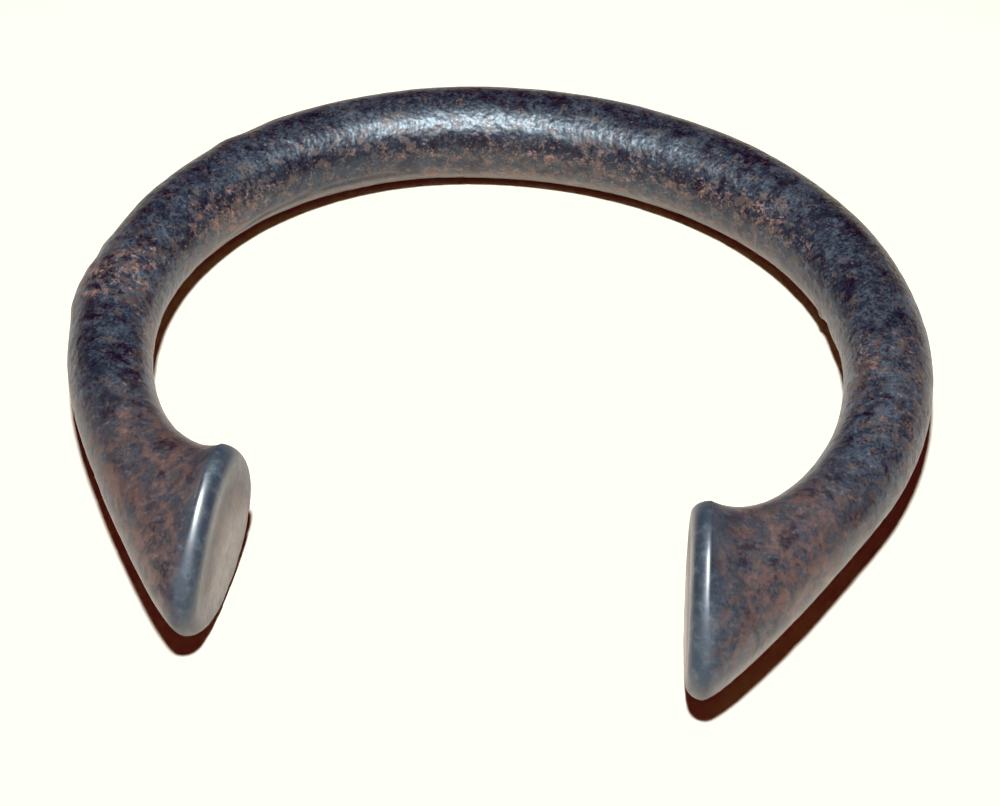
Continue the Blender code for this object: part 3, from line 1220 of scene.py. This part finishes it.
class PatinaMaterial:
    """The skin of the old casting: slate and umber speckle, crusts, specks and dark rims."""

    def __init__(self, finish: PatinaFinish, mix: PatinaMix, patches: PatchGroup) -> None:
        """Open the material and lay out what several steps read.

        Args:
            finish: Colours, gloss, noises and crusts.
            mix: How strongly each of them shows.
            patches: The group that the crusts are cut with.
        """
        self.finish, self.mix, self.patches = finish, mix, patches
        self.material = bpy.data.materials.new("patinated copper alloy")
        self.material.use_nodes = True
        tree = self.material.node_tree
        self.shader = tree.nodes["Principled BSDF"]
        self.nodes = nodes = Nodes(tree)
        in_mm = nodes.add("ShaderNodeVectorMath", "millimetres", operation="SCALE")
        nodes.feed(in_mm.inputs[0], nodes.add("ShaderNodeTexCoord").outputs["Object"])
        nodes.feed(in_mm.inputs["Scale"], 1.0 / MM)
        self.place = in_mm.outputs["Vector"]
        self.zones = {mask: nodes.zone(mask) for mask in Mask}
        self.fine = nodes.noise(self.place, finish.fine)
        self.mottle = nodes.noise(self.place, finish.mottle)
        self.blotch = nodes.noise(self.place, finish.blotches)
        self.crisp = nodes.minus(1.0, nodes.times(self.zones[Mask.FLARE], mix.flare_blur))

    def build(self) -> bpy.types.Material:
        """Mix the colours from the dark ground to the pale underside, then gloss and grain.

        Returns:
            The material, on object coordinates taken in millimetres.
        """
        colour, umber, rose, terracotta = self.crusted(self.ground())
        colour = self.with_ends(self.speckled(colour))
        self.nodes.feed(self.shader.inputs["Base Color"], colour)
        self.gloss(umber, rose, terracotta)
        self.grain(terracotta)
        return self.material

    def ground(self) -> bpy.types.NodeSocket:
        """Navy and slate speckle with black hollows and blotches, browner on the flares.

        Returns:
            The colour under all crusts.
        """
        nodes, finish, mix = self.nodes, self.finish, self.mix
        flare = self.zones[Mask.FLARE]
        noises = (self.mottle, self.fine, nodes.noise(self.place, finish.cloud))
        tone = nodes.times(self.zones[Mask.PALE], mix.pale_lift)
        for noise, share in zip(noises, mix.tone_shares):
            tone = nodes.plus(tone, nodes.times(noise, share))
        spread = nodes.plus(mix.tone_spread, nodes.times(flare, mix.flare_tone_spread))
        speckle = nodes.step(tone, nodes.minus(mix.tone_middle, spread),
                             nodes.plus(mix.tone_middle, spread))
        colour = nodes.blend(speckle, finish.navy, finish.slate)
        hollow = nodes.step(nodes.noise(self.place, finish.hollows), *mix.hollow_edges)
        hollow = nodes.times(hollow, self.crisp)
        colour = nodes.blend(nodes.times(hollow, mix.hollow_cover), colour, finish.black)
        inner_flare = nodes.times(flare, nodes.minus(1.0, self.zones[Mask.RIM]))
        colour = nodes.blend(nodes.times(inner_flare, mix.flare_umber), colour, finish.umber)
        blotched = nodes.step(self.blotch, *mix.blotch_edges)
        return nodes.blend(nodes.times(blotched, mix.blotch_cover), colour, finish.black)

    def crusted(self, colour: bpy.types.NodeSocket) -> tuple[bpy.types.NodeSocket, ...]:
        """Lay the umber film, the rose crust and the terracotta crust over the ground.

        Film and rose crust lean to the rust zone and to the blotches' pale side. On the flares
        they are softer, smoother and rarer; both edges start from the umber film's.

        Args:
            colour: The ground.

        Returns:
            The new colour, then the masks of umber, rose and terracotta.
        """
        nodes, finish, mix = self.nodes, self.finish, self.mix
        flare, rust = self.zones[Mask.FLARE], self.zones[Mask.RUST]
        softer = {"Grain": nodes.minus(finish.umber_film.grain,
                                       nodes.times(flare, mix.flare_smoothing)),
                  "Softness": nodes.plus(finish.umber_film.softness,
                                         nodes.times(flare, mix.flare_softness))}
        lean = nodes.plus(nodes.minus(rust, mix.rust_middle),
                          nodes.times(nodes.minus(self.blotch, 0.5), mix.blotch_lean))
        lean = nodes.minus(lean, nodes.times(flare, mix.flare_lean_loss))
        umber = self.patches.cut(nodes, "umber film", self.place, finish.umber_film, lean,
                                 **softer)
        colour = nodes.blend(nodes.times(umber, finish.umber_film.cover), colour,
                             finish.umber)
        rose = self.patches.cut(nodes, "rose crust", self.place, finish.rose_crust, lean,
                                **softer)
        colour = nodes.blend(nodes.times(rose, finish.rose_crust.cover), colour, finish.rose)
        terracotta = nodes.times(self.crisp, self.patches.cut(
            nodes, "terracotta crust", self.place, finish.terracotta_crust,
            nodes.minus(rust, mix.thick_rust_middle)))
        colour = nodes.blend(nodes.times(terracotta, finish.terracotta_crust.cover), colour,
                             finish.terracotta)
        return colour, umber, rose, terracotta

    def speckled(self, colour: bpy.types.NodeSocket) -> bpy.types.NodeSocket:
        """Scatter olive specks and pale ones, and blacken the pits and the painted shade by the
        seam.

        Args:
            colour: The crusted ground.

        Returns:
            The new colour.
        """
        nodes, finish, mix = self.nodes, self.finish, self.mix
        olive = nodes.times(self.crisp, self.patches.cut(
            nodes, "olive specks", self.place, finish.olive_specks,
            nodes.minus(self.zones[Mask.OLIVE], mix.olive_middle)))
        colour = nodes.blend(nodes.times(olive, finish.olive_specks.cover), colour,
                             finish.olive)
        # Pale specks, which gather thickly at one spot as a painted glint.
        glint_spot = self.zones[Mask.DUST]
        dust_and_glint = nodes.times(self.crisp, self.patches.cut(
            nodes, "dust specks", self.place, finish.dust_and_glint_specks, glint_spot))
        cover = nodes.plus(finish.dust_and_glint_specks.cover, nodes.times(glint_spot, mix.glint_gain))
        colour = nodes.blend(nodes.times(dust_and_glint, cover), colour, finish.dust_and_glint)
        # Blacken the pits and the painted shade beside the seam.
        pits = nodes.times(self.zones[Mask.DEEP], nodes.times(self.crisp, self.crisp))
        return nodes.blend(nodes.times(pits, mix.pit_and_seam_shade_cover), colour, finish.black)

    def with_ends(self, colour: bpy.types.NodeSocket) -> bpy.types.NodeSocket:
        """Darken the rims, colour the end faces, film the flares and lighten the underside.

        Args:
            colour: The rod's colour.

        Returns:
            The new colour.
        """
        nodes, finish, mix = self.nodes, self.finish, self.mix
        rim, face = self.zones[Mask.RIM], self.zones[Mask.FACE]
        worn = nodes.times(rim, nodes.step(self.mottle, *mix.worn_edges))
        colour = nodes.blend(nodes.times(worn, mix.worn_cover), colour, finish.navy)
        colour = nodes.blend(nodes.times(face, mix.face_cover), colour, finish.face)
        film = self.patches.cut(nodes, "flare film", self.place, finish.flare_film,
                                nodes.minus(self.zones[Mask.FLARE], 1.0))
        film = nodes.times(film, nodes.minus(1.0, nodes.most(
            rim, nodes.times(face, mix.face_film_loss))))
        colour = nodes.blend(nodes.times(film, finish.flare_film.cover), colour, finish.rose)
        # Painted reflection: the underside is lightened, partly as worn metal and partly in
        # place of the paper's reflection.
        return nodes.blend(nodes.times(self.zones[Mask.RUBBED], mix.bare_and_reflection_cover), colour,
                           finish.bare_and_reflection)

    def gloss(self, umber: bpy.types.NodeSocket, rose: bpy.types.NodeSocket,
              terracotta: bpy.types.NodeSocket) -> None:
        """Set how metallic and how rough the skin is, and coat the shiny patch of each lip.

        Args:
            umber: Mask of the umber film.
            rose: Mask of the rose crust.
            terracotta: Mask of the terracotta crust.
        """
        nodes, finish, mix = self.nodes, self.finish, self.mix
        rim, face, shine = (self.zones[mask] for mask in (Mask.RIM, Mask.FACE, Mask.SHINE))
        crust = nodes.most(terracotta, nodes.times(rose, mix.rose_dullness))
        crust = nodes.most(crust, nodes.times(umber, mix.umber_dullness))
        off_edge = nodes.minus(1.0, nodes.times(nodes.most(rim, face), mix.edge_metal_loss))
        metallic = nodes.between(crust, finish.metal, finish.crust_metal)
        nodes.feed(self.shader.inputs["Metallic"], nodes.times(metallic, off_edge))

        rough = nodes.between(crust, finish.sheen_roughness, finish.crust_roughness)
        uneven = nodes.times(nodes.minus(self.fine, 0.5), mix.unevenness)
        rough = nodes.plus(rough, uneven, clamp=True)
        flare_rim = nodes.minus(rim, face, clamp=True)
        rough = nodes.minus(rough, nodes.times(flare_rim, mix.rim_gloss))
        dull_lip = nodes.minus(self.zones[Mask.LIP], shine)
        rough = nodes.plus(rough, nodes.times(dull_lip, mix.lip_dullness))
        duller = nodes.minus(nodes.times(rim, mix.face_dullness), mix.face_gloss)
        rough = nodes.plus(rough, nodes.times(face, duller), clamp=True)
        nodes.feed(self.shader.inputs["Roughness"], rough)

        nodes.feed(self.shader.inputs["Coat Weight"], nodes.times(shine, mix.coat))
        self.shader.inputs["Coat Roughness"].default_value = finish.coat_roughness
        self.shader.inputs["Coat IOR"].default_value = finish.ior
        self.shader.inputs["IOR"].default_value = finish.ior

    def grain(self, terracotta: bpy.types.NodeSocket) -> None:
        """Bump the skin with dimples, a coarser swell and the crust's thickness.

        Args:
            terracotta: Mask of the terracotta crust.
        """
        nodes, finish, mix = self.nodes, self.finish, self.mix
        dimples = nodes.add("ShaderNodeTexVoronoi", "dimples", feature="SMOOTH_F1")
        nodes.feed(dimples.inputs["Vector"], self.place)
        nodes.feed(dimples.inputs["Scale"], 1.0 / finish.dimple_size)
        nodes.feed(dimples.inputs["Smoothness"], finish.dimple_smoothness)
        swell = nodes.noise(self.place, finish.swell)
        height = nodes.plus(nodes.times(dimples.outputs["Distance"], mix.dimple_depth),
                            nodes.times(swell, mix.swell_depth))
        height = nodes.plus(height, nodes.times(terracotta, mix.crust_height))
        smooth = nodes.most(nodes.most(self.zones[Mask.FACE], self.zones[Mask.RUBBED]),
                            self.zones[Mask.RIM])
        rugged = nodes.times(nodes.minus(1.0, nodes.times(smooth, mix.calm)), self.crisp)
        bump = nodes.add("ShaderNodeBump")
        nodes.feed(bump.inputs["Strength"], 1.0)
        nodes.feed(bump.inputs["Distance"], mix.bump)
        nodes.feed(bump.inputs["Height"], nodes.times(height, rugged))
        nodes.feed(self.shader.inputs["Normal"], bump.outputs["Normal"])


@dataclass
class Studio:
    """The pale paper, the lamp, the dim room and the camera of the photograph.

    Lengths are in metres, apart from the lens and its sensor, which are in mm.
    """

    camera_from: tuple[float, float, float] = (0.01965, -0.12464, 0.12958)
    camera_to: tuple[float, float, float] = (0.00055, -0.00142, -0.00024)
    lens: float = 82.57
    sensor: float = 36.0
    clip: tuple[float, float] = (0.005, 10.0)
    lamp_from: tuple[float, float, float] = (0.0083, -0.0710, 0.2166)
    lamp_to: tuple[float, float, float] = (0.0, 0.0, 0.0)
    lamp_size: float = 0.022
    lamp_power: float = 1.02
    lamp_colour: tuple[float, float, float] = (0.90, 0.91, 1.0)
    room: tuple[float, float, float] = (0.030, 0.004, 0.003)
    paper: tuple[float, float, float] = (0.95, 0.87, 0.72)
    paper_roughness: float = 0.9
    paper_specular: float = 0.2
    paper_size: float = 1.6
    paper_gap: float = 0.01 * MM

    def floor(self) -> bpy.types.Object:
        """A sheet of pale paper, just below the casting's underside.

        Returns:
            The paper, already staged.
        """
        half = self.paper_size / 2
        level = CAD_BOX[0][2] - self.paper_gap
        mesh = bpy.data.meshes.new("paper")
        mesh.from_pydata([(-half, -half, level), (half, -half, level), (half, half, level),
                          (-half, half, level)], [], [(0, 1, 2, 3)])
        material = bpy.data.materials.new("pale paper")
        material.use_nodes = True
        shader = material.node_tree.nodes["Principled BSDF"]
        shader.inputs["Base Color"].default_value = (*self.paper, 1.0)
        shader.inputs["Roughness"].default_value = self.paper_roughness
        shader.inputs["Specular IOR Level"].default_value = self.paper_specular
        mesh.materials.append(material)
        paper = self.put("paper", mesh)
        return paper

    @staticmethod
    def put(name: str, data: bpy.types.ID) -> bpy.types.Object:
        """Make an object of this data and link it to the scene.

        Args:
            name: What it is called.
            data: Its mesh, or its lamp's or camera's data.

        Returns:
            The object.
        """
        thing = bpy.data.objects.new(name, data)
        bpy.context.scene.collection.objects.link(thing)
        return thing

    def aimed(self, name: str, data: bpy.types.ID, start: tuple[float, float, float],
              target: tuple[float, float, float]) -> bpy.types.Object:
        """Put a lamp or camera where it stands and turn it to what it looks at.

        Args:
            name: What it is called.
            data: The lamp's or camera's own data.
            start: Where it stands.
            target: The point that it looks at.

        Returns:
            The object.
        """
        thing = self.put(name, data)
        thing.location = start
        towards = Vector(target) - Vector(start)
        thing.rotation_euler = towards.to_track_quat("-Z", "Y").to_euler()
        return thing

    def lights(self) -> None:
        """One compact lamp high in front, and a dim even room."""
        data = bpy.data.lights.new("lamp", "AREA")
        data.shape = "DISK"
        data.size = self.lamp_size
        data.energy = self.lamp_power
        data.color = self.lamp_colour
        self.aimed("lamp", data, self.lamp_from, self.lamp_to)
        world = bpy.data.worlds.new("room")
        world.use_nodes = True
        world.node_tree.nodes["Background"].inputs["Color"].default_value = (*self.room, 1.0)
        bpy.context.scene.world = world

    def camera(self) -> None:
        """The camera of the photograph: about 46 degrees up, slightly to the right."""
        data = bpy.data.cameras.new("camera")
        data.lens = self.lens
        data.sensor_width = self.sensor
        data.clip_start, data.clip_end = self.clip
        scene = bpy.context.scene
        scene.camera = self.aimed("camera", data, self.camera_from, self.camera_to)


@dataclass
class Print:
    """How the picture is developed: deep shadows, and the paper's white a little warm.

    Attributes:
        toe: For each channel, the low value that is held down.
        toe_share: What it is held down to, as a share of itself.
        rise: Where the curve comes back, in toes, and what it comes out as there.
        knee: The value from which a channel bends to its own white.
        knee_bend: How far it has bent towards that white at the knee.
        white: What each channel's brightest value comes out as.
    """

    toe: tuple[float, float, float] = (0.010, 0.034, 0.032)
    toe_share: float = 0.2
    rise: tuple[float, float] = (4.0, 3.4)
    knee: float = 0.8
    knee_bend: float = 0.5
    white: tuple[float, float, float] = (0.991, 1.0, 0.930)

    def expose(self) -> None:
        """Hold each channel's darks down and let it end at its own white."""
        view = bpy.context.scene.view_settings
        view.view_transform = "Standard"
        view.use_curve_mapping = True
        mapping = view.curve_mapping
        mapping.extend = "HORIZONTAL"
        for curve, toe, white in zip(mapping.curves, self.toe, self.white):
            curve.points[0].location = (0.0, 0.0)
            curve.points[1].location = (1.0, white)
            curve.points.new(toe, self.toe_share * toe)
            curve.points.new(*(share * toe for share in self.rise))
            bent = 1.0 - self.knee_bend + self.knee_bend * white
            curve.points.new(self.knee, self.knee * bent)
            for point in curve.points:
                point.handle_type = "VECTOR"
        mapping.update()


def main() -> None:
    """Build the casting and its patina, then the studio; log the casting's faces and the paper.
    """
    logging.basicConfig(level=logging.INFO, format="%(name)s: %(message)s")
    Print().expose()
    casting = Casting().build()
    patina = PatinaMaterial(PatinaFinish(), PatinaMix(), PatchGroup())
    casting.data.materials.append(patina.build())
    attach(casting, "root")
    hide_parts(NODE)
    log.info("%s: %d faces", casting.name, len(casting.data.polygons))
    studio = Studio()
    log.info("%s laid", studio.floor().name)
    studio.lights()
    studio.camera()


if __name__ == "__main__":
    main()
